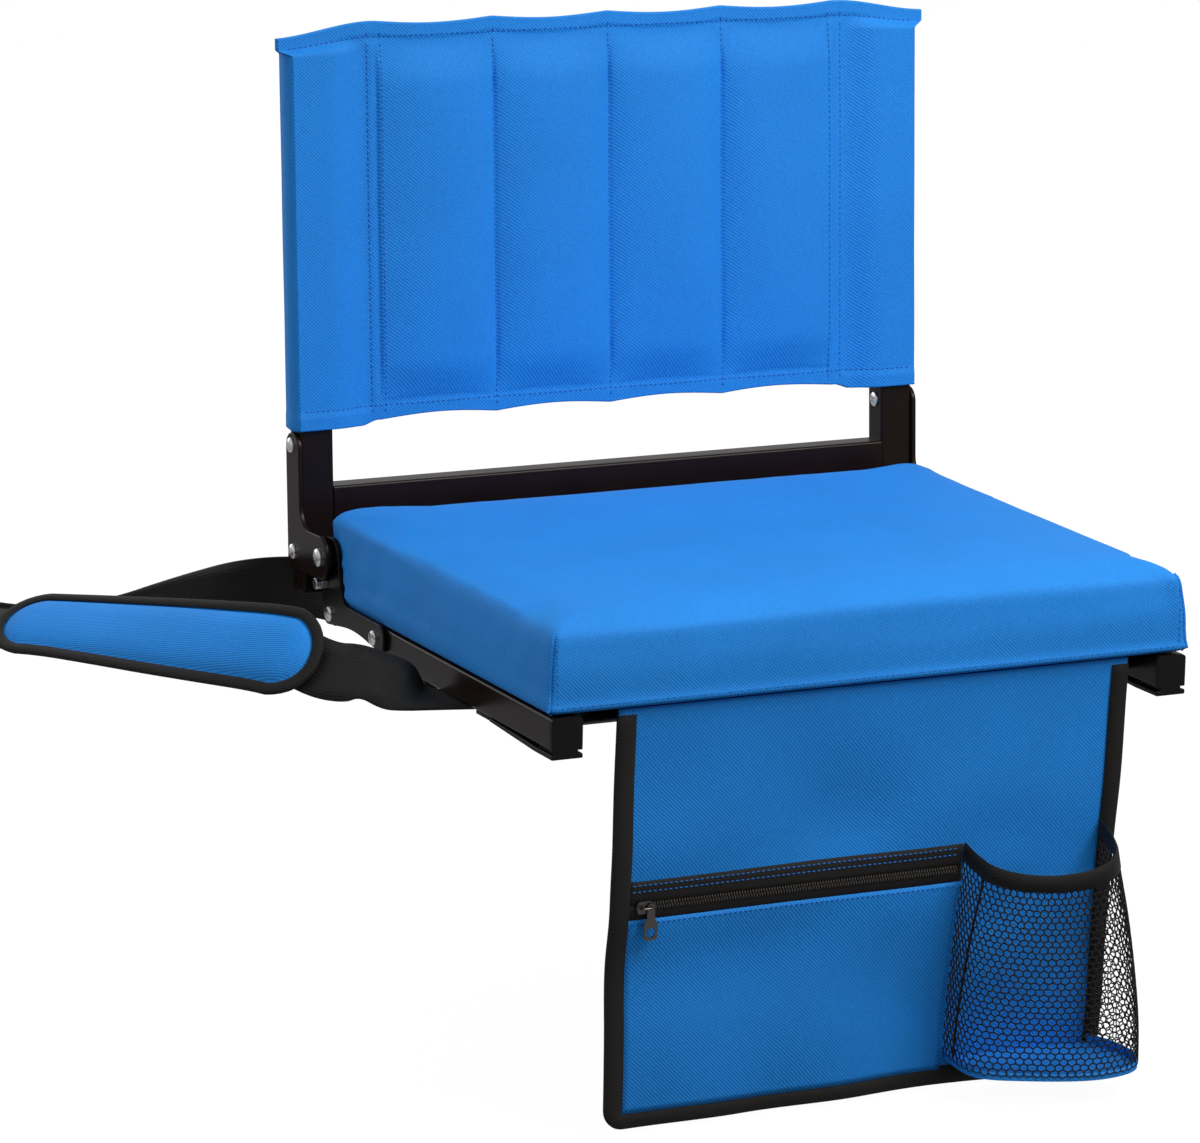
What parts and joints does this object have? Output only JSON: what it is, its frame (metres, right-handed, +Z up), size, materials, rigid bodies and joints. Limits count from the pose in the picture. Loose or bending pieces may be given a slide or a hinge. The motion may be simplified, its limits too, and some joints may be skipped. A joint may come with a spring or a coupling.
{
  "type": "padded stadium seat",
  "caption": "Folding padded stadium seat: steel frame, box cushion, hinged padded back, hanging flap with zip and net pockets, and a carrying strap with a shoulder pad.",
  "frame": {"origin": "on the bench plane under the feet, midway between the rails and halfway along them", "axes": "+X to the right seen from the front, +Y to the back, +Z up"},
  "size_m": [0.6953, 0.5288, 0.6246],
  "materials": {
    "frame_black": "gloss",
    "bracket_grey": "satin",
    "plated_steel": "bright plated",
    "black_plastic": "satin",
    "nylon": "satin",
    "blue_cloth": "woven",
    "black_cloth": "woven",
    "net_cloth": "net",
    "webbing": "ribbed",
    "foam": "matte",
    "board": "raw",
    "zip_black": "satin",
    "zip_metal": "gloss"
  },
  "bodies": {
    "seat": {"left_rail": "frame_black", "right_rail": "frame_black", "front_cross_tube": "frame_black", "rear_cross_tube": "frame_black", "rear_tube_inserts": "plated_steel", "left_end_cap": "black_plastic", "right_end_cap": "black_plastic", "left_foot_strips": "black_plastic", "right_foot_strips": "black_plastic", "left_seat_bracket": "bracket_grey", "right_seat_bracket": "bracket_grey", "rail_bolts": "plated_steel", "rail_nuts": "plated_steel", "tube_bolts": "plated_steel", "pivot_rivets": "plated_steel", "pivot_bushes": "nylon", "stop_pins": "frame_black", "seat_cover": "blue_cloth", "seat_foam": "foam", "seat_board": "board", "seat_screws": "plated_steel", "carry_strap": "webbing", "strap_screws": "plated_steel", "shoulder_pad": "blue_cloth", "shoulder_pad_binding": "black_cloth", "pad_keepers": "black_cloth"},
    "back": {"left_upright": "frame_black", "right_upright": "frame_black", "back_crossbar": "frame_black", "left_back_bracket": "frame_black", "right_back_bracket": "frame_black", "back_bracket_bolts": "plated_steel", "back_bracket_nuts": "plated_steel", "upright_bottom_plugs": "black_plastic", "upright_top_plugs": "black_plastic", "back_sleeve": "blue_cloth", "back_pads": "foam"},
    "flap": {"flap_panel": "blue_cloth", "flap_binding": "black_cloth", "pocket_panel": "blue_cloth", "zip_upper_tape": "black_cloth", "zip_lower_tape": "black_cloth", "zip_coil": "zip_black", "net_left": "net_cloth", "net_front": "net_cloth", "net_right": "net_cloth", "pouch_rim": "black_cloth", "pouch_base": "blue_cloth"},
    "slider": {"zip_slider": "zip_metal"},
    "pull": {"zip_pull": "zip_metal"}
  },
  "joints": [
    {"name": "back_fold", "type": "hinge", "parent": "seat", "child": "back", "pos_m": [0, 0.202, 0.054], "axis": [1, 0, 0], "range_deg": [0, 90]},
    {"name": "flap_swing", "type": "hinge", "parent": "seat", "child": "flap", "pos_m": [0, -0.133, 0.0242], "axis": [-1, 0, 0], "range_deg": [-45, 80]},
    {"name": "zip_slide", "type": "slide", "parent": "flap", "child": "slider", "axis": [1, 0, 0], "range_m": [0, 0.188]},
    {"name": "pull_swing", "type": "hinge", "parent": "slider", "child": "pull", "pos_m": [-0.14295, -0.1303, -0.09841], "axis": [0, -0.9976, -0.0698], "range_deg": [-45, 90]}
  ]
}
